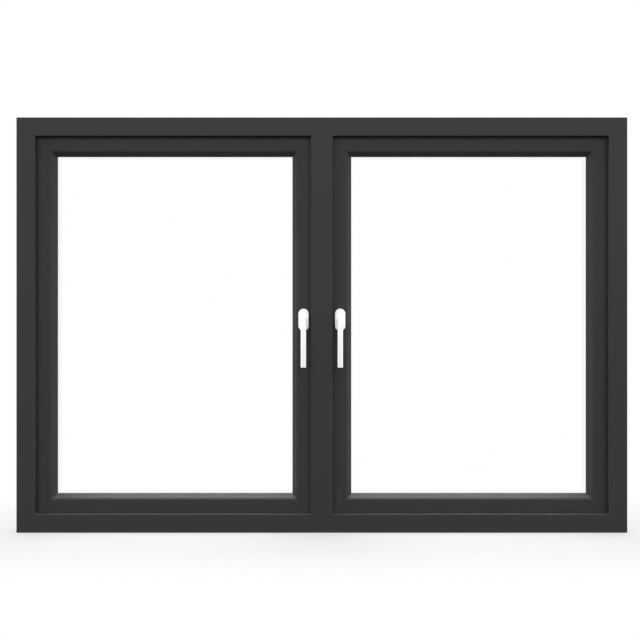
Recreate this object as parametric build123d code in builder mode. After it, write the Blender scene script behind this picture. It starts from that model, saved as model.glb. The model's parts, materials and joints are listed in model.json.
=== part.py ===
"""Double casement window of plastic profiles with two outward-opening sashes beside one mullion.

X runs to the right seen from the room, Y from the room to the outside, Z up.
The origin lies under the sill, below the mullion, in the middle of the frame's depth.
Profiles are drawn in a section plane: its x runs from the reference edge into the opening,
its y from the frame's room face to the outside.
"""

import os
from math import radians, sin, tan

from build123d import *

# Outer frame
frame_width = 1765.0
frame_height = 1200.0
frame_depth = 70.0
frame_face = 53.5
mullion_face = 63.0
leg_thickness = 14.0
edge_radius = 1.5
clip_groove_width = 8.0
clip_groove_depth = 3.0
clip_groove_spacing = 34.0

# Room between frame and sash
leg_overlap = 7.0
hardware_gap = 13.0
inner_seal_gap = 4.0
outer_seal_gap = 3.0

# Sash
sash_depth = 70.0
sash_flat = 36.5
flange_overlap = 8.0
flange_radius = 3.0
glazing_leg_radius = 6.0
glazing_leg_drop = 6.0
glazing_leg_slope = 20.0
bead_groove_depth = 3.2

# Glazing
bead_width = 17.5
bead_depth = 17.0
bead_shoulder = 9.0
bead_slope = 50.0
bead_foot_inset = 4.0
bead_foot_width = 3.0
bead_foot_length = 2.8
bead_fit = 0.2
gasket_lip = 0.6
gasket_height = 8.0
gasket_thickness = 3.0
glass_edge_gap = 4.0
pane_thickness = 4.0
pane_spacing = 16.0
spacer_height = 7.0
block_length = 100.0
block_inset = 150.0

# Weather seals
seal_width = 5.0
seal_inset = 1.5

# Friction stays
stay_width = 18.0
stay_track_length = 380.0
stay_track_thickness = 4.5
stay_link_length = 210.0
stay_link_thickness = 3.5
stay_arm_length = 320.0
stay_end_gap = 12.0
stay_setback = 22.0

# Wall fixings and drainage
fixing_radius = 4.0
fixing_setback = 42.0
fixing_pitch = 260.0
drain_length = 28.0
drain_width = 5.0
drain_depth = 8.0
drain_height = 13.0
drain_inset = 180.0

# Handles
handle_offset = 52.75
handle_height = 615.0
base_width = 30.0
base_length = 65.0
base_thickness = 11.0
base_chamfer = 2.0
collar_radius = 10.5
collar_height = 2.0
journal_radius = 7.0
journal_fit = 0.08
journal_end_gap = 0.3
shoulder_radius = 9.0
shoulder_height = 3.0
lever_width = 15.0
lever_thickness = 11.0
lever_chamfer = 2.0
lever_bend = 16.0
lever_reach = 40.5
lever_length = 137.0
lever_end_chamfer = 1.0
spindle_size = 7.0
spindle_fit = 0.1
spindle_length = 47.0
spindle_grip = 11.0
spindle_hole_radius = 6.0
spindle_hole_depth = 40.0

# Sizes that follow from the ones above
room_face = -frame_depth / 2
outside_face = frame_depth / 2
frame_body = frame_face - leg_overlap - hardware_gap
mullion_body = mullion_face - 2 * (leg_overlap + hardware_gap)
sash_front = leg_thickness + inner_seal_gap
sash_back = sash_front + sash_depth
flange_front = frame_depth + outer_seal_gap
flange_edge = -leg_overlap - hardware_gap - flange_overlap
sight_edge = sash_flat + bead_width + gasket_lip
glass_edge = sash_flat + glass_edge_gap
bead_back = sash_front + bead_depth
bead_fall = (bead_width - bead_shoulder * sin(radians(bead_slope))) * tan(radians(bead_slope))
glass_front = bead_back + gasket_thickness
glass_back = glass_front + 2 * pane_thickness + pane_spacing
glazing_leg_front = glass_back + gasket_thickness
glazing_leg_edge = sight_edge - glazing_leg_drop
glazing_leg_fall = (sash_back - glazing_leg_front) * tan(radians(glazing_leg_slope))
sash_face = room_face + sash_front
opening_height = frame_height - 2 * frame_face
opening_width = (frame_width - 2 * frame_face - mullion_face) / 2
opening_offset = (opening_width + mullion_face) / 2
mid_height = frame_height / 2

os.makedirs("parts", exist_ok=True)


def write_piece(piece, name):
    """Labels one piece and writes its STEP file."""
    piece.label = name
    export_step(piece, f"parts/{name}.step")


def side_plane(side, center_x, width, height):
    """Section plane at the middle of one side of an upright rectangle, and that side's length."""
    directions = {
        "left": (Vector(1, 0, 0), Vector(0, 0, 1), height),
        "top": (Vector(0, 0, -1), Vector(1, 0, 0), width),
        "right": (Vector(-1, 0, 0), Vector(0, 0, -1), height),
        "bottom": (Vector(0, 0, 1), Vector(-1, 0, 0), width),
    }
    inward, along, length = directions[side]
    half_size = width / 2 if side in ("left", "right") else height / 2
    origin = Vector(center_x, room_face, mid_height) - inward * half_size
    return Plane(origin=origin, x_dir=inward, z_dir=along), length


def mitred_bar(section, side, center_x, width, height):
    """One profile bar of a rectangle, cut at 45 degrees through the rectangle's corners."""
    plane, length = side_plane(side, center_x, width, height)
    with BuildPart() as bar:
        with BuildSketch(plane):
            add(section)
        extrude(amount=length, both=True)
        for end in (-1, 1):
            corner = plane.origin + plane.z_dir * (end * length / 2)
            split(bisect_by=Plane(origin=corner, z_dir=-plane.x_dir - plane.z_dir * end), keep=Keep.TOP)
    return bar.part


def ring_plane(center_x, setback):
    """Upright plane, facing the room, at a depth behind the frame's room face."""
    return Plane(origin=(center_x, room_face + setback, mid_height), x_dir=(1, 0, 0), z_dir=(0, -1, 0))


# Section of the outer frame: a leg on the room side, a body with clip grooves towards the wall
with BuildSketch() as frame_section:
    Rectangle(frame_face, leg_thickness, align=(Align.MIN, Align.MIN))
    tip = frame_section.vertices().group_by(Axis.X)[-1]
    fillet(tip, edge_radius)
    Rectangle(frame_body, frame_depth, align=(Align.MIN, Align.MIN))
    outside_corners = frame_section.vertices().group_by(Axis.Y)[-1]
    room_corner = frame_section.vertices().group_by(Axis.Y)[0].sort_by(Axis.X)[0]
    fillet([*outside_corners, room_corner], edge_radius)
    with Locations((0, frame_depth / 2)):
        with GridLocations(0, clip_groove_spacing, 1, 2):
            Rectangle(2 * clip_groove_depth, clip_groove_width, mode=Mode.SUBTRACT)

# Section of the sash: body, flange over the frame's outside and glazing leg that slopes to shed water
with BuildSketch() as sash_section:
    with Locations((-leg_overlap, sash_front)):
        Rectangle(leg_overlap + sash_flat, sash_depth, align=(Align.MIN, Align.MIN))
    with Locations((flange_edge, sash_back)):
        Rectangle(sash_flat - flange_edge, sash_back - flange_front, align=(Align.MIN, Align.MAX))
    with BuildLine():
        Polyline(
            (-leg_overlap, glazing_leg_front),
            (glazing_leg_edge, glazing_leg_front),
            (glazing_leg_edge - glazing_leg_fall, sash_back),
            (-leg_overlap, sash_back),
            close=True,
        )
    make_face()
    flange_corner = sash_section.vertices().group_by(Axis.Y)[-1].sort_by(Axis.X)[0]
    fillet(flange_corner, flange_radius)
    leg_corner = sash_section.vertices().group_by(Axis.Y)[-1].sort_by(Axis.X)[-1]
    fillet(leg_corner, glazing_leg_radius)
    with Locations((sash_flat, sash_front + bead_foot_inset)):
        Rectangle(
            2 * bead_groove_depth,
            bead_foot_width + 2 * bead_fit,
            align=(Align.CENTER, Align.MIN),
            mode=Mode.SUBTRACT,
        )

# Section of the glazing bead: a round shoulder, a slope down to the glass, and a foot
with BuildSketch() as bead_section:
    with BuildLine():
        shoulder = JernArc((sash_flat, sash_front), tangent=(1, 0), radius=bead_shoulder, arc_size=bead_slope)
        slope = Line(shoulder @ 1, (sight_edge - gasket_lip, (shoulder @ 1).Y + bead_fall))
        Polyline(slope @ 1, (sight_edge - gasket_lip, bead_back), (sash_flat, bead_back), shoulder @ 0)
    make_face()
    with Locations((sash_flat, sash_front + bead_foot_inset + bead_fit)):
        Rectangle(2 * bead_foot_length, bead_foot_width, align=(Align.CENTER, Align.MIN))

# Outer frame with wall fixing holes in the jambs and drain slots in the sill
mullion_seat = edge_radius
for side, name in (("left", "frame_left_jamb"), ("right", "frame_right_jamb")):
    outward = -1 if side == "left" else 1
    fixing_plane = Plane(
        origin=(outward * frame_width / 2, room_face + fixing_setback, mid_height),
        x_dir=(0, 1, 0),
        z_dir=(outward, 0, 0),
    )
    with BuildPart() as jamb:
        add(mitred_bar(frame_section.sketch, side, 0, frame_width, frame_height))
        with BuildSketch(fixing_plane):
            with GridLocations(0, fixing_pitch, 1, 4):
                Circle(fixing_radius)
        extrude(amount=-frame_body, mode=Mode.SUBTRACT)
    write_piece(jamb.part, name)

with BuildPart() as head:
    add(mitred_bar(frame_section.sketch, "top", 0, frame_width, frame_height))
    with Locations((0, room_face, frame_height - frame_face)):
        Box(
            mullion_face,
            leg_thickness,
            mullion_seat,
            align=(Align.CENTER, Align.MIN, Align.MIN),
            mode=Mode.SUBTRACT,
        )
write_piece(head.part, "frame_head")

with BuildPart() as sill:
    add(mitred_bar(frame_section.sketch, "bottom", 0, frame_width, frame_height))
    with Locations((0, room_face, frame_face)):
        Box(
            mullion_face,
            leg_thickness,
            mullion_seat,
            align=(Align.CENTER, Align.MIN, Align.MAX),
            mode=Mode.SUBTRACT,
        )
    drain_reach = opening_width / 2 - drain_inset
    drain_places = [hand * opening_offset + end * drain_reach for hand in (-1, 1) for end in (-1, 1)]
    with BuildSketch(Plane(origin=(0, outside_face, drain_height), x_dir=(-1, 0, 0), z_dir=(0, 1, 0))):
        with Locations(*[(place, 0) for place in drain_places]):
            SlotOverall(drain_length, drain_width)
    extrude(amount=-drain_depth, mode=Mode.SUBTRACT)
write_piece(sill.part, "frame_sill")

mullion_plane = Plane(origin=(0, room_face, mid_height), x_dir=(1, 0, 0), z_dir=(0, 0, 1))
with BuildPart() as mullion:
    with BuildSketch(mullion_plane) as leg_sketch:
        Rectangle(mullion_face, leg_thickness, align=(Align.CENTER, Align.MIN))
        fillet(leg_sketch.vertices(), edge_radius)
    extrude(amount=opening_height / 2 + mullion_seat, both=True)
    with BuildSketch(mullion_plane) as web_sketch:
        with Locations((0, leg_thickness)):
            Rectangle(mullion_body, frame_depth - leg_thickness, align=(Align.CENTER, Align.MIN))
        fillet(web_sketch.vertices().group_by(Axis.Y)[-1], edge_radius)
    extrude(amount=frame_height / 2 - frame_body, both=True)
write_piece(mullion.part, "mullion")

for hand_name, hand in (("left", -1), ("right", 1)):
    center_x = hand * opening_offset
    handle_place = (hand * handle_offset, sash_face, handle_height)
    handle_plane = Plane(origin=handle_place, x_dir=(0, 0, 1), z_dir=(0, -1, 0))
    opposite_name = "right" if hand_name == "left" else "left"
    sides = {"top": "top", "bottom": "bottom", "hinge": hand_name, "lock": opposite_name}

    # Sash frame, with the spindle hole in the stile beside the mullion
    for role, name in (("top", "top_rail"), ("bottom", "bottom_rail"), ("hinge", "hinge_stile")):
        bar = mitred_bar(sash_section.sketch, sides[role], center_x, opening_width, opening_height)
        write_piece(bar, f"{hand_name}_sash_{name}")
    with BuildPart() as lock_stile:
        add(mitred_bar(sash_section.sketch, sides["lock"], center_x, opening_width, opening_height))
        with BuildSketch(handle_plane):
            Circle(spindle_hole_radius)
        extrude(amount=-spindle_hole_depth, mode=Mode.SUBTRACT)
    write_piece(lock_stile.part, f"{hand_name}_sash_lock_stile")

    # Glazing beads on the room side
    for role, name in (("top", "top"), ("bottom", "bottom"), ("hinge", "hinge_side"), ("lock", "lock_side")):
        bar = mitred_bar(bead_section.sketch, sides[role], center_x, opening_width, opening_height)
        write_piece(bar, f"{hand_name}_bead_{name}")

    # Sealed double glazing
    pane_width = opening_width - 2 * glass_edge
    pane_height = opening_height - 2 * glass_edge
    with BuildPart() as inner_pane:
        with BuildSketch(ring_plane(center_x, glass_front)):
            Rectangle(pane_width, pane_height)
        extrude(amount=-pane_thickness)
    write_piece(inner_pane.part, f"{hand_name}_inner_pane")

    with BuildPart() as outer_pane:
        with BuildSketch(ring_plane(center_x, glass_back)):
            Rectangle(pane_width, pane_height)
        extrude(amount=pane_thickness)
    write_piece(outer_pane.part, f"{hand_name}_outer_pane")

    with BuildPart() as spacer:
        with BuildSketch(ring_plane(center_x, glass_front + pane_thickness)):
            Rectangle(pane_width, pane_height)
            Rectangle(pane_width - 2 * spacer_height, pane_height - 2 * spacer_height, mode=Mode.SUBTRACT)
        extrude(amount=-pane_spacing)
    write_piece(spacer.part, f"{hand_name}_glass_spacer")

    with BuildPart() as setting_blocks:
        block_floor = frame_face + sash_flat
        block_reach = opening_width / 2 - block_inset
        for end in (-1, 1):
            with Locations((center_x + end * block_reach, room_face + glass_front, block_floor)):
                Box(
                    block_length,
                    glass_back - glass_front,
                    glass_edge_gap,
                    align=(Align.CENTER, Align.MIN, Align.MIN),
                )
    write_piece(setting_blocks.part, f"{hand_name}_setting_blocks")

    # Glazing gaskets on both sides of the glass, their lips at the edges of the bead and the glazing leg
    with BuildPart() as glazing_gaskets:
        for start, edge in ((bead_back, sight_edge), (glass_back, glazing_leg_edge)):
            clear_width = opening_width - 2 * edge
            clear_height = opening_height - 2 * edge
            with BuildSketch(ring_plane(center_x, start)):
                Rectangle(clear_width + 2 * gasket_height, clear_height + 2 * gasket_height)
                Rectangle(clear_width, clear_height, mode=Mode.SUBTRACT)
            extrude(amount=-gasket_thickness)
    write_piece(glazing_gaskets.part, f"{hand_name}_glazing_gaskets")

    # Weather seals, one behind the frame's leg and one under the sash's flange
    with BuildPart() as weather_seals:
        inner_grow = 2 * seal_inset
        outer_grow = 2 * (leg_overlap + hardware_gap + seal_inset)
        for start, gap, grow in (
            (leg_thickness, inner_seal_gap, inner_grow),
            (frame_depth, outer_seal_gap, outer_grow),
        ):
            with BuildSketch(ring_plane(center_x, start)):
                Rectangle(opening_width + grow + 2 * seal_width, opening_height + grow + 2 * seal_width)
                Rectangle(opening_width + grow, opening_height + grow, mode=Mode.SUBTRACT)
            extrude(amount=-gap)
    write_piece(weather_seals.part, f"{hand_name}_weather_seals")

    # Friction stays that carry the sash in the gap above and below it: track, link and sash arm
    stay_arm_thickness = hardware_gap - stay_track_thickness - stay_link_thickness
    stay_start = center_x + hand * (opening_width / 2 - stay_end_gap)
    stay_y = room_face + sash_front + stay_setback
    for place, upward in (("bottom", 1), ("top", -1)):
        track_z = frame_body if place == "bottom" else frame_height - frame_body
        with BuildPart() as stay:
            with BuildSketch(Plane.XY.offset(track_z)):
                with Locations((stay_start - hand * stay_track_length / 2, stay_y)):
                    Rectangle(stay_track_length, stay_width)
            extrude(amount=upward * stay_track_thickness)
            with BuildSketch(Plane.XY.offset(track_z + upward * stay_track_thickness)):
                with Locations((stay_start - hand * stay_track_length / 2, stay_y)):
                    SlotOverall(stay_link_length, stay_width)
            extrude(amount=upward * stay_link_thickness)
            with BuildSketch(Plane.XY.offset(track_z + upward * (hardware_gap - stay_arm_thickness))):
                with Locations((stay_start - hand * stay_arm_length / 2, stay_y)):
                    SlotOverall(stay_arm_length, stay_width)
            extrude(amount=upward * stay_arm_thickness)
        write_piece(stay.part, f"{hand_name}_{place}_stay")

    # Handle base: a stadium plate with a collar around the lever's journal
    with BuildPart() as handle_base:
        with BuildSketch(handle_plane):
            SlotOverall(base_length, base_width)
        extrude(amount=base_thickness)
        chamfer(handle_base.faces().sort_by(Axis.Y)[0].edges(), base_chamfer)
        with BuildSketch(handle_plane.offset(base_thickness)):
            Circle(collar_radius)
        extrude(amount=collar_height)
        with BuildSketch(handle_plane):
            Circle(journal_radius + journal_fit)
        extrude(amount=base_thickness + collar_height, mode=Mode.SUBTRACT)
    write_piece(handle_base.part, f"{hand_name}_handle_base")

    # Lever: journal, shoulder and a bar that bends down from the pivot
    collar_front = base_thickness + collar_height
    shoulder_front = collar_front + journal_end_gap + shoulder_height
    with BuildPart() as lever:
        with BuildLine(Plane(origin=handle_plane.origin, x_dir=(0, -1, 0), z_dir=(-1, 0, 0))) as lever_path:
            neck = Line((shoulder_front, 0), (lever_reach - lever_bend, 0))
            bend = TangentArc(neck @ 1, (lever_reach, -lever_bend), tangent=neck % 1)
            Line(bend @ 1, (lever_reach, -lever_length))
        with BuildSketch(handle_plane.offset(shoulder_front)) as lever_sketch:
            Rectangle(lever_thickness, lever_width)
            chamfer(lever_sketch.vertices(), lever_chamfer)
        sweep(path=lever_path.line)
        chamfer(lever.faces().sort_by(Axis.Z)[0].edges(), lever_end_chamfer)
        with BuildSketch(handle_plane.offset(shoulder_front)):
            Circle(shoulder_radius)
        extrude(amount=-shoulder_height)
        with BuildSketch(handle_plane.offset(journal_end_gap)):
            Circle(journal_radius)
        extrude(amount=collar_front)
        with BuildSketch(handle_plane.offset(journal_end_gap)):
            Rectangle(spindle_size + 2 * spindle_fit, spindle_size + 2 * spindle_fit)
        extrude(amount=spindle_grip, mode=Mode.SUBTRACT)
    write_piece(lever.part, f"{hand_name}_handle_lever")

    with BuildPart() as spindle:
        with BuildSketch(handle_plane.offset(journal_end_gap + spindle_grip - spindle_fit)):
            Rectangle(spindle_size, spindle_size)
        extrude(amount=-spindle_length)
    write_piece(spindle.part, f"{hand_name}_handle_spindle")
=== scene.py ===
"""Finishes, studio and camera for a double casement window.

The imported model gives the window's pieces and their places. This script gives each of them a procedural
finish, models the rounded handles and the rubber rings that stand for plain solids, and sets a pale
studio with the camera square in front of the room side. Lengths are in metres: X to the right seen from the
room, Y from the room to the outside, Z up.
"""

import json
import logging
import math
from collections.abc import Callable, Iterable
from dataclasses import dataclass
from enum import Enum
from typing import Self

import bpy
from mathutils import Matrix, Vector

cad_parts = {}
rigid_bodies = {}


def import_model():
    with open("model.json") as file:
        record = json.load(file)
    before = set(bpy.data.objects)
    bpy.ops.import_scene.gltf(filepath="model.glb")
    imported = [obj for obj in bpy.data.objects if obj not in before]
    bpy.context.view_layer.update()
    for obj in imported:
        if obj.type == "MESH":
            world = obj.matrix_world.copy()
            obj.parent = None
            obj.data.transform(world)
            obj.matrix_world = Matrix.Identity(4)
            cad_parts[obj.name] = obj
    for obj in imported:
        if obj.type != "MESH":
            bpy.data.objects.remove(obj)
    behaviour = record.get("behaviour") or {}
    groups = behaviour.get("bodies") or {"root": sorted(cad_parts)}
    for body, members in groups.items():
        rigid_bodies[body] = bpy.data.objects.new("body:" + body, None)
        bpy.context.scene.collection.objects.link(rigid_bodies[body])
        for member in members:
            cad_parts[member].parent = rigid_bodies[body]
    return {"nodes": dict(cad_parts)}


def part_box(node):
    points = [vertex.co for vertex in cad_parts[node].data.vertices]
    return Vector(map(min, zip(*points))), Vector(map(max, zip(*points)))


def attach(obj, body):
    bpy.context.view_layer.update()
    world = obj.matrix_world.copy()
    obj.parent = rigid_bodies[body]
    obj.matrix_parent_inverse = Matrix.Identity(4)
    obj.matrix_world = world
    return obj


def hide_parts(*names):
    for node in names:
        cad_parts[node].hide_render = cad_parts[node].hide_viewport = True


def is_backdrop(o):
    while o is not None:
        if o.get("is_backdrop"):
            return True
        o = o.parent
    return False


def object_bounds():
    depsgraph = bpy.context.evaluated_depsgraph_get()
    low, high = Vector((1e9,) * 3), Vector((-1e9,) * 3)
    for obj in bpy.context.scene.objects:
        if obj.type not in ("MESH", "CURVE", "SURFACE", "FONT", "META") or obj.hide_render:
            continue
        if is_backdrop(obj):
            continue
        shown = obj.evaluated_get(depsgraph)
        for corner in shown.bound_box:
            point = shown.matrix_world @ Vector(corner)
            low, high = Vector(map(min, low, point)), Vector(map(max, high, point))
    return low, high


LOG = logging.getLogger("window")
WINDOW_BODY = "window"
MM = 0.001
HAIR = 0.01 * MM
QUARTER_TURN = math.pi / 2
WHITE = (1.0, 1.0, 1.0, 1.0)

Colour = tuple[float, float, float]
Point = tuple[float, float, float]
Piece = bpy.types.Object
Material = bpy.types.Material
Socket = bpy.types.NodeSocket


class Hand(Enum):
    """The two halves of the window, seen from the room."""

    LEFT = "left"
    RIGHT = "right"


class Run(Enum):
    """The axis that a profile bar is drawn along, so that its foil runs with it."""

    LEVEL = (0.06, 1.0, 1.0)
    UPRIGHT = (1.0, 1.0, 0.06)


class Merge(Enum):
    """The two ways that one shape changes another."""

    JOIN = "UNION"
    CUT = "DIFFERENCE"


class Blend(Enum):
    """What a Mix node blends: its data type, then the places of its two inputs and of its result."""

    NUMBER = ("FLOAT", 2, 3, 0)
    COLOUR = ("RGBA", 6, 7, 2)


class Wiring:
    """Adds nodes to one node tree and joins their sockets."""

    def __init__(self, tree: bpy.types.NodeTree) -> None:
        """Keeps the tree that the nodes go to.

        Args:
            tree: the node tree of a material, a world or a node group.
        """
        self.tree = tree

    @classmethod
    def start(cls, owner: Material | bpy.types.World) -> Self:
        """Empties the node tree of a material or a world.

        Args:
            owner: the material or the world.

        Returns:
            The wiring of its tree.
        """
        owner.use_nodes = True
        owner.node_tree.nodes.clear()
        return cls(owner.node_tree)

    def node(
        self, kind: str, inputs: dict[str, object] | None = None, **settings: object
    ) -> bpy.types.Node:
        """Adds one node.

        Args:
            kind: the node's type name.
            inputs: values for its input sockets, by socket name.
            settings: values for its own properties.

        Returns:
            The new node.
        """
        new = self.tree.nodes.new(kind)
        for name, value in settings.items():
            setattr(new, name, value)
        for name, value in (inputs or {}).items():
            new.inputs[name].default_value = value
        return new

    def join(self, source: Socket, target: Socket) -> None:
        """Links an output socket to an input socket."""
        self.tree.links.new(source, target)

    def show(self, shader: Socket, kind: str = "ShaderNodeOutputMaterial") -> None:
        """Links a shader to a new output node."""
        self.join(shader, self.node(kind).inputs["Surface"])

    def blend(self, kind: Blend, factor: Socket, first: Socket, second: Socket) -> Socket:
        """Adds a Mix node.

        Args:
            kind: what it blends.
            factor: 0 for the first input, 1 for the second.
            first: the first input.
            second: the second input.

        Returns:
            The node's output socket.
        """
        data_type, first_place, second_place, result_place = kind.value
        new = self.node("ShaderNodeMix", data_type=data_type)
        self.join(factor, new.inputs["Factor"])
        self.join(first, new.inputs[first_place])
        self.join(second, new.inputs[second_place])
        return new.outputs[result_place]

    def choice(self, factor: Socket, first: Socket, second: Socket) -> Socket:
        """Adds a Mix Shader node.

        Args:
            factor: 0 for the first shader, 1 for the second.
            first: the first shader.
            second: the second shader.

        Returns:
            The node's output socket.
        """
        new = self.node("ShaderNodeMixShader")
        for place, source in enumerate((factor, first, second)):
            self.join(source, new.inputs[place])
        return new.outputs["Shader"]

    def maths(self, operation: str, first: object, second: object, clamp: bool = False) -> Socket:
        """Adds a Math node.

        Args:
            operation: the Math node's operation.
            first: a socket or a number.
            second: a socket or a number.
            clamp: keeps the result between 0 and 1.

        Returns:
            The node's output socket.
        """
        new = self.node("ShaderNodeMath", operation=operation, use_clamp=clamp)
        for place, value in enumerate((first, second)):
            if isinstance(value, Socket):
                self.join(value, new.inputs[place])
            else:
                new.inputs[place].default_value = value
        return new.outputs[0]


class SurfaceGroups:
    """The effects that several finishes share, each built once as a node group."""

    coarse_scale: float = 0.13
    gloss_scale: float = 2.7

    def __init__(self) -> None:
        """Builds both groups."""
        self.grain = self._grain()
        self.drift = self._drift()

    @staticmethod
    def _start(name: str, inputs: dict[str, str], outputs: dict[str, str]) -> Wiring:
        """Makes a group with named sockets.

        Args:
            name: the group's name.
            inputs: socket types by input name.
            outputs: socket types by output name.

        Returns:
            The wiring of the new group.
        """
        tree = bpy.data.node_groups.new(name, "ShaderNodeTree")
        for socket, kind in inputs.items():
            tree.interface.new_socket(socket, in_out="INPUT", socket_type=kind)
        for socket, kind in outputs.items():
            tree.interface.new_socket(socket, in_out="OUTPUT", socket_type=kind)
        return Wiring(tree)

    def _grain(self) -> bpy.types.NodeTree:
        """Fine moulded or embossed grain.

        Returns:
            The group, which puts out a height from 0 to 1.
        """
        inputs = {
            "Vector": "NodeSocketVector",
            "Scale": "NodeSocketFloat",
            "Coarse Share": "NodeSocketFloat",
        }
        wires = self._start("fine_grain", inputs, {"Height": "NodeSocketFloat"})
        given = wires.node("NodeGroupInput")
        fine = wires.node("ShaderNodeTexNoise", {"Detail": 3.0, "Roughness": 0.6})
        coarse = wires.node("ShaderNodeTexNoise", {"Detail": 2.0, "Roughness": 0.5})
        wires.join(given.outputs["Vector"], fine.inputs["Vector"])
        wires.join(given.outputs["Vector"], coarse.inputs["Vector"])
        wires.join(given.outputs["Scale"], fine.inputs["Scale"])
        wider = wires.maths("MULTIPLY", given.outputs["Scale"], self.coarse_scale)
        wires.join(wider, coarse.inputs["Scale"])
        share = given.outputs["Coarse Share"]
        height = wires.blend(Blend.NUMBER, share, fine.outputs["Fac"], coarse.outputs["Fac"])
        wires.join(height, wires.node("NodeGroupOutput").inputs["Height"])
        return wires.tree

    def _drift(self) -> bpy.types.NodeTree:
        """Slow change of tone and gloss over a surface.

        Returns:
            The group, which puts out a colour and a roughness.
        """
        inputs = {
            "Vector": "NodeSocketVector",
            "Scale": "NodeSocketFloat",
            "Dark": "NodeSocketColor",
            "Light": "NodeSocketColor",
            "Smooth": "NodeSocketFloat",
            "Rough": "NodeSocketFloat",
        }
        outputs = {"Color": "NodeSocketColor", "Roughness": "NodeSocketFloat"}
        wires = self._start("tone_drift", inputs, outputs)
        given = wires.node("NodeGroupInput")
        tone = wires.node("ShaderNodeTexNoise", {"Detail": 4.0, "Roughness": 0.55})
        gloss = wires.node("ShaderNodeTexNoise", {"Detail": 5.0, "Roughness": 0.65})
        wires.join(given.outputs["Vector"], tone.inputs["Vector"])
        wires.join(given.outputs["Vector"], gloss.inputs["Vector"])
        wires.join(given.outputs["Scale"], tone.inputs["Scale"])
        closer = wires.maths("MULTIPLY", given.outputs["Scale"], self.gloss_scale)
        wires.join(closer, gloss.inputs["Scale"])
        dark, light = given.outputs["Dark"], given.outputs["Light"]
        smooth, rough = given.outputs["Smooth"], given.outputs["Rough"]
        colour = wires.blend(Blend.COLOUR, tone.outputs["Fac"], dark, light)
        roughness = wires.blend(Blend.NUMBER, gloss.outputs["Fac"], smooth, rough)
        result = wires.node("NodeGroupOutput")
        wires.join(colour, result.inputs["Color"])
        wires.join(roughness, result.inputs["Roughness"])
        return wires.tree

    def relief(
        self, wires: Wiring, place: Socket, scale: float, coarse_share: float, depth: float
    ) -> Socket:
        """Adds the grain to a material as a bump.

        Args:
            wires: the material's wiring.
            place: the coordinates that the grain follows.
            scale: the scale of the fine grain.
            coarse_share: how much of the height is coarse grain, from 0 to 1.
            depth: the grain's depth.

        Returns:
            The bump's normal.
        """
        values = {"Scale": scale, "Coarse Share": coarse_share}
        grain = wires.node("ShaderNodeGroup", values, node_tree=self.grain)
        wires.join(place, grain.inputs["Vector"])
        bump = wires.node("ShaderNodeBump", {"Strength": 1.0, "Distance": depth})
        wires.join(grain.outputs["Height"], bump.inputs["Height"])
        return bump.outputs["Normal"]


@dataclass(frozen=True)
class Finish:
    """A surface with a slow drift of tone and gloss and a fine grain."""

    name: str
    dark: Colour
    light: Colour
    smooth: float
    rough: float
    drift_scale: float
    grain_scale: float
    grain_depth: float
    coarse_share: float = 0.2
    stretch: Point = (1.0, 1.0, 1.0)
    metallic: float = 0.0
    specular: float = 0.5

    def material(self, groups: SurfaceGroups) -> Material:
        """Builds the finish as a material on Object coordinates.

        Args:
            groups: the shared effects.

        Returns:
            The new material.
        """
        new = bpy.data.materials.new(self.name)
        wires = Wiring.start(new)
        shine = {"Metallic": self.metallic, "Specular IOR Level": self.specular}
        surface = wires.node("ShaderNodeBsdfPrincipled", shine)
        place = wires.node("ShaderNodeTexCoord")
        tones = {
            "Scale": self.drift_scale,
            "Dark": (*self.dark, 1.0),
            "Light": (*self.light, 1.0),
            "Smooth": self.smooth,
            "Rough": self.rough,
        }
        drift = wires.node("ShaderNodeGroup", tones, node_tree=groups.drift)
        wires.join(place.outputs["Object"], drift.inputs["Vector"])
        wires.join(drift.outputs["Color"], surface.inputs["Base Color"])
        wires.join(drift.outputs["Roughness"], surface.inputs["Roughness"])
        stretched = wires.node("ShaderNodeMapping", {"Scale": self.stretch})
        wires.join(place.outputs["Object"], stretched.inputs["Vector"])
        along = stretched.outputs["Vector"]
        normal = groups.relief(wires, along, self.grain_scale, self.coarse_share, self.grain_depth)
        wires.join(normal, surface.inputs["Normal"])
        wires.show(surface.outputs["BSDF"])
        return new


@dataclass(frozen=True)
class GlassFinish:
    """Clear float glass that lets lamps through, with the faint wave of drawn panes."""

    name: str = "clear_float_glass"
    tint: Colour = (0.997, 0.998, 0.998)
    index: float = 1.5
    wave_scale: float = 2.2
    wave_depth: float = 0.02 * MM
    wave_coarse: float = 0.8

    def material(self, groups: SurfaceGroups) -> Material:
        """Builds the glass.

        Args:
            groups: the shared effects.

        Returns:
            The new material.
        """
        new = bpy.data.materials.new(self.name)
        wires = Wiring.start(new)
        clarity = {
            "Base Color": (*self.tint, 1.0),
            "Roughness": 0.0,
            "IOR": self.index,
            "Transmission Weight": 1.0,
        }
        pane = wires.node("ShaderNodeBsdfPrincipled", clarity)
        place = wires.node("ShaderNodeTexCoord").outputs["Object"]
        normal = groups.relief(wires, place, self.wave_scale, self.wave_coarse, self.wave_depth)
        wires.join(normal, pane.inputs["Normal"])
        clear = wires.node("ShaderNodeBsdfTransparent", {"Color": (*self.tint, 1.0)})
        shadow = wires.node("ShaderNodeLightPath").outputs["Is Shadow Ray"]
        wires.show(wires.choice(shadow, pane.outputs["BSDF"], clear.outputs["BSDF"]))
        return new


def foil(name: str, run: Run) -> Finish:
    """Dark grey foil on a plastic profile.

    Args:
        name: the material's name.
        run: the way that the profile, and with it the foil's fine lines, runs.

    Returns:
        The finish.
    """
    return Finish(
        name=name,
        dark=(0.031, 0.031, 0.031),
        light=(0.0344, 0.0344, 0.0344),
        smooth=0.3,
        rough=0.4,
        drift_scale=3.0,
        grain_scale=900.0,
        grain_depth=0.08 * MM,
        stretch=run.value,
        specular=0.07,
    )


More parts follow.
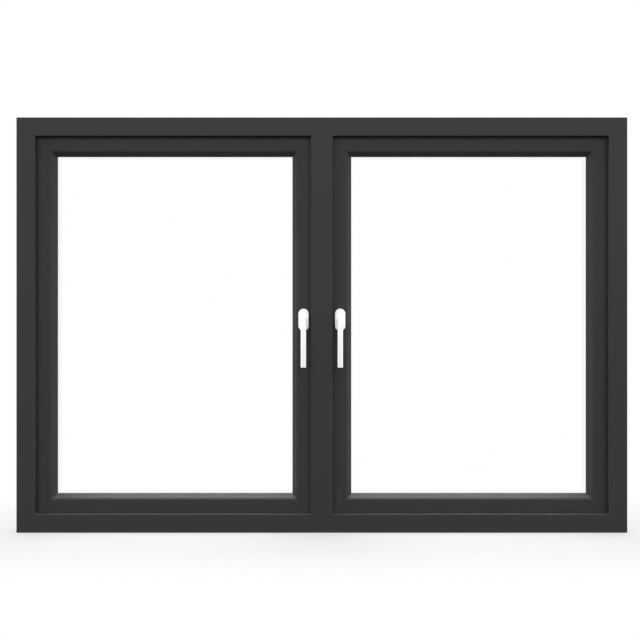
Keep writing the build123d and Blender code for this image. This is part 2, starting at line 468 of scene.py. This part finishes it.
class Palette:
    """All materials of the window."""

    def __init__(self) -> None:
        """Builds every finish once."""
        groups = SurfaceGroups()
        self.foil = {run: foil(f"dark_foil_{run.name.lower()}", run).material(groups) for run in Run}
        self.glass = GlassFinish().material(groups)
        self.coat = Finish(
            name="white_powder_coat",
            dark=(0.92, 0.92, 0.92),
            light=(0.95, 0.95, 0.95),
            smooth=0.3,
            rough=0.4,
            drift_scale=25.0,
            grain_scale=700.0,
            grain_depth=0.05 * MM,
        ).material(groups)
        self.rubber = Finish(
            name="black_seal_rubber",
            dark=(0.010, 0.010, 0.010),
            light=(0.018, 0.018, 0.018),
            smooth=0.62,
            rough=0.8,
            drift_scale=12.0,
            grain_scale=1400.0,
            grain_depth=0.04 * MM,
            specular=0.35,
        ).material(groups)
        self.steel = Finish(
            name="satin_steel",
            dark=(0.50, 0.50, 0.51),
            light=(0.62, 0.62, 0.62),
            smooth=0.28,
            rough=0.42,
            drift_scale=30.0,
            grain_scale=900.0,
            grain_depth=0.02 * MM,
            stretch=Run.LEVEL.value,
            metallic=1.0,
        ).material(groups)
        self.spacer = Finish(
            name="warm_edge_spacer",
            dark=(0.050, 0.050, 0.052),
            light=(0.072, 0.072, 0.074),
            smooth=0.45,
            rough=0.6,
            drift_scale=20.0,
            grain_scale=500.0,
            grain_depth=0.06 * MM,
        ).material(groups)
        self.block = Finish(
            name="setting_block_plastic",
            dark=(0.085, 0.21, 0.10),
            light=(0.11, 0.26, 0.13),
            smooth=0.4,
            rough=0.55,
            drift_scale=30.0,
            grain_scale=600.0,
            grain_depth=0.05 * MM,
        ).material(groups)


class Bench:
    """Models pieces with edit-mode operators, as by hand."""

    weld: float = 0.002 * MM
    sharp: float = math.radians(35.0)

    @staticmethod
    def clear() -> None:
        """Leaves edit mode and selects nothing."""
        if bpy.context.object is not None and bpy.context.object.mode != "OBJECT":
            bpy.ops.object.mode_set(mode="OBJECT")
        bpy.ops.object.select_all(action="DESELECT")

    @staticmethod
    def pick(mode: str, wanted: Callable[[list[Vector]], bool]) -> None:
        """Selects the vertices, edges or faces whose corners pass a test, in edit mode.

        Args:
            mode: VERT, EDGE or FACE.
            wanted: takes an element's corner points and says whether it is selected.
        """
        bpy.ops.mesh.select_mode(type=mode)
        bpy.ops.mesh.select_all(action="DESELECT")
        bpy.ops.object.mode_set(mode="OBJECT")
        mesh = bpy.context.object.data
        if mode == "VERT":
            elements, corners = mesh.vertices, [[vertex.co] for vertex in mesh.vertices]
        else:
            elements = mesh.edges if mode == "EDGE" else mesh.polygons
            corners = [[mesh.vertices[index].co for index in element.vertices] for element in elements]
        for element, points in zip(elements, corners):
            element.select = wanted(points)
        bpy.ops.object.mode_set(mode="EDIT")

    @staticmethod
    def extrude(step: Point) -> None:
        """Extrudes the selection by a step."""
        bpy.ops.mesh.extrude_region_move(TRANSFORM_OT_translate={"value": step})

    @staticmethod
    def place() -> None:
        """Moves the active object's place, turn and scale into its mesh."""
        bpy.ops.object.transform_apply(location=True, rotation=True, scale=True)

    @classmethod
    def choose(cls, pieces: list[Piece]) -> None:
        """Selects these objects alone and makes the first of them active.

        Args:
            pieces: the objects.
        """
        cls.clear()
        for piece in pieces:
            piece.select_set(True)
        bpy.context.view_layer.objects.active = pieces[0]

    @staticmethod
    def title(piece: Piece, name: str) -> Piece:
        """Names a piece and its mesh.

        Args:
            piece: the piece.
            name: the name of both.

        Returns:
            The same piece.
        """
        piece.name = name
        piece.data.name = name
        return piece

    @classmethod
    def seal(cls, piece: Piece) -> None:
        """Merges a piece's doubled points and turns its faces outwards.

        Args:
            piece: the piece, which stays selected and active.
        """
        cls.choose([piece])
        bpy.ops.object.mode_set(mode="EDIT")
        bpy.ops.mesh.select_all(action="SELECT")
        bpy.ops.mesh.remove_doubles(threshold=cls.weld)
        bpy.ops.mesh.normals_make_consistent(inside=False)
        bpy.ops.object.mode_set(mode="OBJECT")

    @classmethod
    def combine(cls, piece: Piece, tool: Piece, way: Merge) -> None:
        """Joins a closed shape to a piece or cuts it out of the piece, and removes the shape.

        Args:
            piece: the piece that is changed.
            tool: the shape that crosses it.
            way: whether the shape is joined or cut out.
        """
        cls.seal(tool)
        cls.seal(piece)
        bpy.ops.object.modifier_add(type="BOOLEAN")
        change = piece.modifiers[-1]
        change.operation = way.value
        change.object = tool
        bpy.ops.object.modifier_apply(modifier=change.name)
        bpy.data.objects.remove(tool)

    @classmethod
    def finish(cls, name: str, shells: list[Piece]) -> Piece:
        """Makes one piece of closed shells that lie apart, with outward faces and soft shading.

        Args:
            name: the piece's name.
            shells: the objects that become one piece.

        Returns:
            The piece.
        """
        cls.choose(shells)
        if len(shells) > 1:
            bpy.ops.object.join()
        piece = bpy.context.object
        cls.seal(piece)
        bpy.ops.object.shade_smooth_by_angle(angle=cls.sharp)
        return cls.title(piece, name)

    @classmethod
    def twin(cls, piece: Piece, name: str, across: float) -> Piece:
        """Copies a piece, with a mesh of its own, to its place in the other half.

        Args:
            piece: the piece that is copied.
            name: the copy's name.
            across: how far the copy stands from the piece along X.

        Returns:
            The copy.
        """
        cls.choose([piece])
        bpy.ops.object.duplicate(linked=False)
        bpy.ops.transform.translate(value=(across, 0.0, 0.0))
        cls.place()
        return cls.title(bpy.context.object, name)


@dataclass(frozen=True)
class Ring:
    """One rectangular rubber ring, upright, with a rounded lip round its opening."""

    low: Vector
    high: Vector
    wall: float
    lip: float
    segments: int = 4

    def build(self) -> Piece:
        """Models the ring.

        Returns:
            The ring's object.
        """
        Bench.clear()
        center = (self.low + self.high) / 2
        size = self.high - self.low
        bpy.ops.mesh.primitive_plane_add(size=1.0, location=(center.x, self.low.y, center.z))
        ring = bpy.context.object
        ring.rotation_euler = (QUARTER_TURN, 0.0, 0.0)
        ring.scale = (size.x, size.z, 1.0)
        Bench.place()
        bpy.ops.object.mode_set(mode="EDIT")
        bpy.ops.mesh.select_all(action="SELECT")
        bpy.ops.mesh.inset(thickness=self.wall, use_even_offset=True)
        bpy.ops.mesh.delete(type="FACE")
        bpy.ops.mesh.select_all(action="SELECT")
        Bench.extrude((0.0, size.y, 0.0))
        half_x = size.x / 2 - self.wall + HAIR
        half_z = size.z / 2 - self.wall + HAIR
        Bench.pick("EDGE", lambda points: self._round_opening(points, center, half_x, half_z))
        bpy.ops.mesh.bevel(offset=self.lip, segments=self.segments, affect="EDGES", clamp_overlap=True)
        bpy.ops.object.mode_set(mode="OBJECT")
        return ring

    @staticmethod
    def _round_opening(points: list[Vector], center: Vector, half_x: float, half_z: float) -> bool:
        """Tells whether an edge runs along the ring's opening, on its front or back.

        Args:
            points: the edge's two ends.
            center: the ring's centre.
            half_x: half the opening's width, a little more.
            half_z: half the opening's height, a little more.

        Returns:
            True for the edges of the lip.
        """
        inside_x = all(abs(point.x - center.x) < half_x for point in points)
        inside_z = all(abs(point.z - center.z) < half_z for point in points)
        return inside_x and inside_z and abs(points[0].y - points[1].y) < HAIR


def dress(nodes: dict[str, Piece], names: Iterable[str], material: Material) -> list[Piece]:
    """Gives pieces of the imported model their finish.

    Args:
        nodes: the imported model's pieces by name.
        names: the pieces that take the finish.
        material: the finish.

    Returns:
        The dressed pieces.
    """
    dressed = [nodes[name] for name in names]
    for piece in dressed:
        piece.material_slots[0].material = material
    return dressed


def fit(piece: Piece, material: Material, node: str, body: str) -> Piece:
    """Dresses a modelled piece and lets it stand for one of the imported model's.

    Args:
        piece: the modelled piece.
        material: its finish.
        node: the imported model's piece that it stands for.
        body: the body that it moves with.

    Returns:
        The same piece.
    """
    piece.data.materials.append(material)
    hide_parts(node)
    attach(piece, body)
    return piece


@dataclass
class OuterFrame:
    """The fixed frame: head, sill, two jambs and the mullion between the sashes."""

    level_bars: tuple[str, ...] = ("frame_head", "frame_sill")
    upright_bars: tuple[str, ...] = ("frame_left_jamb", "frame_right_jamb", "mullion")

    def dress(self, nodes: dict[str, Piece], palette: Palette) -> list[Piece]:
        """Gives each bar foil that runs with it.

        Args:
            nodes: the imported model's pieces by name.
            palette: the window's materials.

        Returns:
            The bars.
        """
        level = dress(nodes, self.level_bars, palette.foil[Run.LEVEL])
        upright = dress(nodes, self.upright_bars, palette.foil[Run.UPRIGHT])
        return level + upright


@dataclass
class Sash:
    """One sash: its bars, the beads that hold its glass, the glass unit and the steel that carries it."""

    hand: Hand
    level_bars: tuple[str, ...] = ("sash_top_rail", "sash_bottom_rail", "bead_top", "bead_bottom")
    upright_bars: tuple[str, ...] = (
        "sash_hinge_stile",
        "sash_lock_stile",
        "bead_hinge_side",
        "bead_lock_side",
    )
    panes: tuple[str, ...] = ("inner_pane", "outer_pane")
    spacers: tuple[str, ...] = ("glass_spacer",)
    blocks: tuple[str, ...] = ("setting_blocks",)
    fittings: tuple[str, ...] = ("top_stay", "bottom_stay", "handle_spindle")

    def dress(self, nodes: dict[str, Piece], palette: Palette) -> list[Piece]:
        """Gives each piece of the sash its finish.

        Args:
            nodes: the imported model's pieces by name.
            palette: the window's materials.

        Returns:
            The dressed pieces.
        """
        pieces = []
        for names, material in (
            (self.level_bars, palette.foil[Run.LEVEL]),
            (self.upright_bars, palette.foil[Run.UPRIGHT]),
            (self.panes, palette.glass),
            (self.spacers, palette.spacer),
            (self.blocks, palette.block),
            (self.fittings, palette.steel),
        ):
            pieces += dress(nodes, [f"{self.hand.value}_{name}" for name in names], material)
        return pieces


@dataclass
class Seals:
    """The rubber of both halves: gaskets on both faces of the glass and weather seals round the sash."""

    gasket_wall: float = 8.0 * MM
    gasket_depth: float = 3.0 * MM
    gasket_lip: float = 1.0 * MM
    gasket_step: float = 6.0 * MM
    seal_wall: float = 5.0 * MM
    inner_seal_depth: float = 4.0 * MM
    outer_seal_depth: float = 3.0 * MM
    seal_lip: float = 1.2 * MM
    seal_step: float = 20.0 * MM

    def build(self, palette: Palette) -> list[Piece]:
        """Models the left half's rubber, copies it to the right half and dresses it.

        Args:
            palette: the window's materials.

        Returns:
            The four pieces.
        """
        pieces = []
        for kind, rings in (("glazing_gaskets", self._gaskets()), ("weather_seals", self._seals())):
            left_low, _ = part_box(f"left_{kind}")
            right_low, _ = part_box(f"right_{kind}")
            left = Bench.finish(f"left_{kind}_rubber", [ring.build() for ring in rings])
            right = Bench.twin(left, f"right_{kind}_rubber", right_low.x - left_low.x)
            for hand, piece in zip(Hand, (left, right)):
                node = f"{hand.value}_{kind}"
                pieces.append(fit(piece, palette.rubber, node, WINDOW_BODY))
        return pieces

    def _gaskets(self) -> list[Ring]:
        """Places the rings on the two faces of the left glass unit.

        Returns:
            The ring towards the room, then the one towards the outside.
        """
        node = "left_glazing_gaskets"
        depths = (self.gasket_depth, self.gasket_depth)
        return self._pair(node, self.gasket_wall, self.gasket_lip, depths, self.gasket_step)

    def _seals(self) -> list[Ring]:
        """Places the rings between the frame and the left sash.

        Returns:
            The ring towards the room, then the one towards the outside.
        """
        node = "left_weather_seals"
        depths = (self.inner_seal_depth, self.outer_seal_depth)
        return self._pair(node, self.seal_wall, self.seal_lip, depths, self.seal_step)

    @staticmethod
    def _pair(
        node: str, wall: float, lip: float, depths: tuple[float, float], step: float
    ) -> list[Ring]:
        """Places a smaller ring towards the room and a larger one towards the outside.

        Args:
            node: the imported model's piece that the rings stand for.
            wall: the rings' height round the opening.
            lip: the rounding of the edges round the opening.
            depths: the thickness of the ring towards the room and of the one towards the outside.
            step: how far the ring towards the room stands inside the other, on each side.

        Returns:
            The ring towards the room, then the one towards the outside.
        """
        room_depth, outside_depth = depths
        low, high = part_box(node)
        inset = Vector((step, 0.0, step))
        room_back = Vector((high.x, low.y + room_depth, high.z))
        outside_front = Vector((low.x, high.y - outside_depth, low.z))
        return [Ring(low + inset, room_back - inset, wall, lip), Ring(outside_front, high, wall, lip)]


@dataclass
class Handles:
    """The two white window handles: a rounded rose on the stile and a lever bent down from it."""

    rose_width: float = 30.0 * MM
    rose_length: float = 65.0 * MM
    rose_depth: float = 11.0 * MM
    rose_round: float = 4.0 * MM
    rose_segments: int = 6
    foot_depth: float = 1.2 * MM
    foot_inset: float = 0.8 * MM
    collar_radius: float = 10.5 * MM
    collar_depth: float = 2.0 * MM
    collar_round: float = 0.6 * MM
    shoulder_radius: float = 9.0 * MM
    shoulder_depth: float = 3.0 * MM
    shoulder_round: float = 0.9 * MM
    journal_radius: float = 7.0 * MM
    journal_fit: float = 0.08 * MM
    journal_gap: float = 0.3 * MM
    socket_size: float = 7.2 * MM
    socket_depth: float = 11.0 * MM
    overlap: float = 1.0 * MM
    bar_width: float = 15.0 * MM
    bar_depth: float = 11.0 * MM
    bar_round: float = 3.6 * MM
    bar_segments: int = 6
    bend_radius: float = 16.0 * MM
    bend_steps: int = 16
    end_round: float = 1.2 * MM
    fine_segments: int = 3
    circle_points: int = 64

    def __post_init__(self) -> None:
        """Reads the left pivot, the sash face, the lever's reach and the right handle's place."""
        rose_low, rose_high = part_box("left_handle_base")
        other_low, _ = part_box("right_handle_base")
        lever_low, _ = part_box("left_handle_lever")
        self.pivot_x = (rose_low.x + rose_high.x) / 2
        self.pivot_z = (rose_low.z + rose_high.z) / 2
        self.face_y = rose_high.y
        self.rose_front = self.face_y - self.rose_depth
        self.collar_front = self.rose_front - self.collar_depth
        self.shoulder_back = self.collar_front - self.journal_gap
        self.shoulder_front = self.shoulder_back - self.shoulder_depth
        self.bar_front = lever_low.y
        self.bar_end = lever_low.z
        self.across = other_low.x - rose_low.x

    def build(self, palette: Palette) -> list[Piece]:
        """Models the left handle, copies it to the right sash and dresses both.

        Args:
            palette: the window's materials.

        Returns:
            The four pieces.
        """
        rose = Bench.finish("left_handle_rose", [self._rose()])
        grip = Bench.finish("left_handle_grip", [self._grip()])
        roses = (rose, Bench.twin(rose, "right_handle_rose", self.across))
        grips = (grip, Bench.twin(grip, "right_handle_grip", self.across))
        pieces = []
        for hand, plate, lever in zip(Hand, roses, grips):
            side = hand.value
            pieces.append(fit(plate, palette.coat, f"{side}_handle_base", WINDOW_BODY))
            pieces.append(fit(lever, palette.coat, f"{side}_handle_lever", f"{side}_handle"))
        return pieces

    def _rose(self) -> Piece:
        """Models the rose: a plate with a low collar, bored for the lever's journal.

        Returns:
            The rose's object.
        """
        rose = self._plate()
        collar_back = self.rose_front + self.overlap
        collar = self._disc(self.collar_radius, collar_back, self.collar_front, self.collar_round)
        Bench.combine(rose, collar, Merge.JOIN)
        bore_radius = self.journal_radius + self.journal_fit
        bore = self._disc(bore_radius, self.face_y + self.overlap, self.collar_front - self.overlap)
        Bench.combine(rose, bore, Merge.CUT)
        return rose

    def _grip(self) -> Piece:
        """Models the lever: its bent bar, round shoulder and journal, with a socket for the spindle.

        Returns:
            The lever's object.
        """
        grip = self._bar()
        shoulder = self._disc(
            self.shoulder_radius, self.shoulder_back, self.shoulder_front, self.shoulder_round
        )
        Bench.combine(grip, shoulder, Merge.JOIN)
        journal_back = self.face_y - self.journal_gap
        journal = self._disc(self.journal_radius, journal_back, self.shoulder_back - self.overlap)
        Bench.combine(grip, journal, Merge.JOIN)
        Bench.combine(grip, self._socket(journal_back), Merge.CUT)
        return grip

    def _socket(self, back: float) -> Piece:
        """Models the square shape that is cut from the journal for the spindle.

        Args:
            back: the place of the journal's back face along Y.

        Returns:
            The shape's object, which starts behind the journal.
        """
        Bench.clear()
        depth = self.socket_depth + self.overlap
        middle = back + self.overlap - depth / 2
        bpy.ops.mesh.primitive_cube_add(size=1.0, location=(self.pivot_x, middle, self.pivot_z))
        socket = bpy.context.object
        socket.scale = (self.socket_size, depth, self.socket_size)
        Bench.place()
        return socket

    def _plate(self) -> Piece:
        """Models the stadium plate with a rounded front, on a foot set back from its edge.

        Returns:
            The plate's object.
        """
        Bench.clear()
        radius = self.rose_width / 2
        half_step = math.pi / self.circle_points
        back = self.face_y - self.foot_depth
        bpy.ops.mesh.primitive_circle_add(
            vertices=self.circle_points,
            radius=radius,
            fill_type="NGON",
            location=(self.pivot_x, back, self.pivot_z),
            rotation=(QUARTER_TURN, half_step, 0.0),
        )
        plate = bpy.context.object
        Bench.place()
        bpy.ops.object.mode_set(mode="EDIT")
        lift = self.rose_length / 2 - radius
        Bench.pick("VERT", lambda points: points[0].z > self.pivot_z)
        bpy.ops.transform.translate(value=(0.0, 0.0, lift))
        Bench.pick("VERT", lambda points: points[0].z < self.pivot_z)
        bpy.ops.transform.translate(value=(0.0, 0.0, -lift))
        bpy.ops.mesh.select_all(action="SELECT")
        Bench.extrude((0.0, self.foot_depth - self.rose_depth, 0.0))
        Bench.pick("FACE", lambda points: all(point.y > back - HAIR for point in points))
        bpy.ops.mesh.inset(thickness=self.foot_inset, use_even_offset=True)
        Bench.extrude((0.0, self.foot_depth, 0.0))
        Bench.pick("EDGE", lambda points: all(point.y < self.rose_front + HAIR for point in points))
        bpy.ops.mesh.bevel(offset=self.rose_round, segments=self.rose_segments, affect="EDGES")
        bpy.ops.object.mode_set(mode="OBJECT")
        return plate

    def _disc(self, radius: float, back: float, front: float, rounding: float = 0.0) -> Piece:
        """Models a disc on the pivot.

        Args:
            radius: the disc's radius.
            back: the place of its back face along Y.
            front: the place of its front face along Y, nearer to the room.
            rounding: the radius of its front edge, or 0 for a sharp one.

        Returns:
            The disc's object.
        """
        Bench.clear()
        bpy.ops.mesh.primitive_cylinder_add(
            vertices=self.circle_points,
            radius=radius,
            depth=back - front,
            location=(self.pivot_x, (back + front) / 2, self.pivot_z),
            rotation=(QUARTER_TURN, 0.0, 0.0),
        )
        disc = bpy.context.object
        Bench.place()
        if rounding > 0.0:
            bpy.ops.object.mode_set(mode="EDIT")
            Bench.pick("EDGE", lambda points: all(point.y < front + HAIR for point in points))
            bpy.ops.mesh.bevel(offset=rounding, segments=self.fine_segments, affect="EDGES")
            bpy.ops.object.mode_set(mode="OBJECT")
        return disc

    def _bar(self) -> Piece:
        """Models the bar: a rounded section drawn out of the shoulder, bent down and squared off.

        Returns:
            The bar's object.
        """
        Bench.clear()
        start_y = self.shoulder_front + self.overlap
        middle_y = self.bar_front + self.bar_depth / 2
        bend_y = middle_y + self.bend_radius
        bpy.ops.mesh.primitive_plane_add(size=1.0, location=(self.pivot_x, start_y, self.pivot_z))
        bar = bpy.context.object
        bar.rotation_euler = (QUARTER_TURN, 0.0, 0.0)
        bar.scale = (self.bar_width, self.bar_depth, 1.0)
        Bench.place()
        bpy.ops.object.mode_set(mode="EDIT")
        bpy.ops.mesh.select_mode(type="VERT")
        bpy.ops.mesh.select_all(action="SELECT")
        bpy.ops.mesh.bevel(offset=self.bar_round, segments=self.bar_segments, affect="VERTICES")
        bpy.ops.mesh.select_all(action="SELECT")
        bpy.ops.mesh.delete(type="ONLY_FACE")
        bpy.ops.mesh.select_all(action="SELECT")
        Bench.extrude((0.0, bend_y - start_y, 0.0))
        bpy.ops.mesh.spin(
            steps=self.bend_steps,
            angle=-QUARTER_TURN,
            center=(self.pivot_x, bend_y, self.pivot_z - self.bend_radius),
            axis=(1.0, 0.0, 0.0),
        )
        low = self.pivot_z - self.bend_radius
        Bench.extrude((0.0, 0.0, self.bar_end - low))
        bpy.ops.mesh.edge_face_add()
        bpy.ops.mesh.bevel(offset=self.end_round, segments=self.fine_segments, affect="EDGES")
        Bench.pick("EDGE", lambda points: all(point.y > start_y - HAIR for point in points))
        bpy.ops.mesh.edge_face_add()
        bpy.ops.object.mode_set(mode="OBJECT")
        return bar


@dataclass(frozen=True)
class SoftLamp:
    """A broad soft lamp."""

    name: str
    place: Point
    width: float
    height: float
    power: float
    aim: Point = (0.0, 0.0, 0.6)

    def build(self) -> None:
        """Hangs the lamp at its place, turned to its aim and out of sight of the glass."""
        light = bpy.data.lights.new(self.name, "AREA")
        light.shape = "RECTANGLE"
        light.size = self.width
        light.size_y = self.height
        light.energy = self.power
        lamp = bpy.data.objects.new(self.name, light)
        lamp.location = self.place
        lamp.rotation_euler = (Vector(self.aim) - Vector(self.place)).to_track_quat("-Z", "Y").to_euler()
        lamp.visible_camera = False
        lamp.visible_glossy = False
        lamp.visible_transmission = False
        bpy.context.scene.collection.objects.link(lamp)


@dataclass(frozen=True)
class Skylight:
    """A broad distant light from above, leaning to the outside of the window."""

    name: str
    lean: float
    spread: float
    strength: float

    def build(self, spared: Iterable[Piece]) -> None:
        """Hangs the light with its lean and its spread, both in degrees.

        Args:
            spared: the white pieces that are shielded from this light, which would bleach them.
        """
        light = bpy.data.lights.new(self.name, "SUN")
        light.angle = math.radians(self.spread)
        light.energy = self.strength
        lamp = bpy.data.objects.new(self.name, light)
        lamp.rotation_euler = (-math.radians(self.lean), 0.0, 0.0)
        shield = bpy.data.collections.new(f"{self.name}_shield")
        for piece in spared:
            shield.objects.link(piece)
        for entry in shield.collection_objects:
            entry.light_linking.link_state = "EXCLUDE"
        lamp.light_linking.receiver_collection = shield
        bpy.context.scene.collection.objects.link(lamp)


@dataclass
class Studio:
    """A pale floor, soft light from all sides and from above, and a camera square to the room side."""

    lamps: tuple[SoftLamp, ...] = (
        SoftLamp("front_softbox", place=(0.0, -3.8, 2.3), width=9.0, height=2.6, power=200.0),
        SoftLamp("left_softbox", place=(-5.0, -0.9, 1.2), width=1.5, height=1.5, power=90.0),
        SoftLamp("right_softbox", place=(5.0, -0.9, 1.2), width=1.5, height=1.5, power=90.0),
        # From the outside, through the glass, on to the slopes of the upright beads
        SoftLamp("left_outside_softbox", place=(-7.4, 3.0, 0.9), width=2.4, height=2.4, power=600.0),
        SoftLamp("right_outside_softbox", place=(7.4, 3.0, 0.9), width=2.4, height=2.4, power=600.0),
    )
    skylight: Skylight = Skylight("skylight", lean=5.0, spread=47.0, strength=8.1)
    room_light: float = 0.4
    floor_size: float = 16.0
    floor_gap: float = 0.5 * MM
    floor_colour: float = 0.258
    floor_bounce: float = 0.015
    floor_glow: float = 0.5
    fade_start: float = 0.2
    fade_end: float = 0.6
    fade_beside: float = 0.85
    camera_distance: float = 2.567
    camera_lens: float = 50.0
    sensor_width: float = 36.0
    image_size: float = 640.0
    shift_right: float = 1.86
    shift_down: float = 5.03

    def build(self, low: Vector, high: Vector, face: float, white: Iterable[Piece]) -> None:
        """Sets floor, light, world and camera.

        Args:
            low: the window's lowest corner.
            high: the window's highest corner.
            face: the place of the frame's room face along Y.
            white: the white pieces that are shielded from the skylight.
        """
        for lamp in self.lamps:
            lamp.build()
        self.skylight.build(white)
        self._floor(low.z)
        self._world()
        self._camera((low.z + high.z) / 2, face)

    @staticmethod
    def _seen(wires: Wiring) -> Socket:
        """Adds a factor that is 1 for what is seen straight, in gloss or through glass.

        Args:
            wires: the wiring of a material or world.

        Returns:
            The factor's socket.
        """
        ray = wires.node("ShaderNodeLightPath")
        straight = wires.maths("ADD", ray.outputs["Is Camera Ray"], ray.outputs["Is Glossy Ray"])
        return wires.maths("ADD", straight, ray.outputs["Is Transmission Ray"], clamp=True)

    def _floor(self, level: float) -> None:
        """Lays the floor, which keeps the window's shadow and fades to white further out.

        Args:
            level: the height of the window's underside.
        """
        Bench.clear()
        bpy.ops.mesh.primitive_plane_add(size=self.floor_size, location=(0.0, 0.0, level - self.floor_gap))
        floor = bpy.context.object
        floor.name = "studio_floor"
        floor.data.materials.append(self._floor_material())
        floor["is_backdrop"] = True

    def _floor_material(self) -> Material:
        """Builds the floor's finish: pale where the shadow falls, white further out.

        Returns:
            The new material.
        """
        material = bpy.data.materials.new("pale_floor")
        wires = Wiring.start(material)
        pale = wires.node("ShaderNodeBsdfDiffuse", {"Color": (*(self.floor_colour,) * 3, 1.0)})
        dull = wires.node("ShaderNodeBsdfDiffuse", {"Color": (*(self.floor_bounce,) * 3, 1.0)})
        white = wires.node("ShaderNodeEmission", {"Color": WHITE, "Strength": 1.0})
        place = wires.node("ShaderNodeTexCoord")
        away = wires.node("ShaderNodeSeparateXYZ")
        wires.join(place.outputs["Object"], away.inputs["Vector"])
        depth = wires.maths("ABSOLUTE", away.outputs["Y"], 0.0)
        across = wires.maths("ABSOLUTE", away.outputs["X"], 0.0)
        beside = wires.maths("SUBTRACT", across, self.fade_beside)
        reach = wires.maths("MAXIMUM", depth, beside)
        ends = {"From Min": self.fade_start, "From Max": self.fade_end, "To Min": self.floor_glow}
        fade = wires.node("ShaderNodeMapRange", ends, interpolation_type="SMOOTHSTEP")
        wires.join(reach, fade.inputs["Value"])
        lit = wires.choice(fade.outputs["Result"], pale.outputs["BSDF"], white.outputs["Emission"])
        wires.show(wires.choice(self._seen(wires), dull.outputs["BSDF"], lit))
        return material

    def _world(self) -> None:
        """Sets even light from all round, with white where it is seen."""
        world = bpy.data.worlds.new("pale_studio")
        bpy.context.scene.world = world
        wires = Wiring.start(world)
        light = wires.node("ShaderNodeBackground", {"Color": WHITE, "Strength": self.room_light})
        white = wires.node("ShaderNodeBackground", {"Color": WHITE, "Strength": 1.0})
        shown = wires.choice(self._seen(wires), light.outputs["Background"], white.outputs["Background"])
        wires.show(shown, "ShaderNodeOutputWorld")

    def _camera(self, height: float, face: float) -> None:
        """Sets the camera level with the window's middle.

        Args:
            height: the height of the window's middle.
            face: the place of the frame's room face along Y.
        """
        data = bpy.data.cameras.new("front_camera")
        data.lens = self.camera_lens
        data.sensor_width = self.sensor_width
        data.shift_x = -self.shift_right / self.image_size
        data.shift_y = self.shift_down / self.image_size
        camera = bpy.data.objects.new("front_camera", data)
        camera.location = (0.0, face - self.camera_distance, height)
        camera.rotation_euler = (QUARTER_TURN, 0.0, 0.0)
        bpy.context.scene.collection.objects.link(camera)
        bpy.context.scene.camera = camera


def main() -> None:
    """Loads the window, dresses it and sets the studio."""
    logging.basicConfig(level=logging.INFO, format="%(name)s: %(message)s")
    bpy.context.scene.view_settings.view_transform = "Standard"
    for leftover in list(bpy.data.objects):
        bpy.data.objects.remove(leftover)
    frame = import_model()
    cad_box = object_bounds()
    nodes = frame["nodes"]
    palette = Palette()
    pieces = OuterFrame().dress(nodes, palette)
    for hand in Hand:
        pieces += Sash(hand).dress(nodes, palette)
    pieces += Seals().build(palette)
    handles = Handles().build(palette)
    pieces += handles
    for piece in pieces:
        LOG.info("%s: %d faces", piece.name, len(piece.data.polygons))
    frame_low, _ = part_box("frame_head")
    Studio().build(cad_box[0], cad_box[1], frame_low.y, handles)


if __name__ == "__main__":
    main()
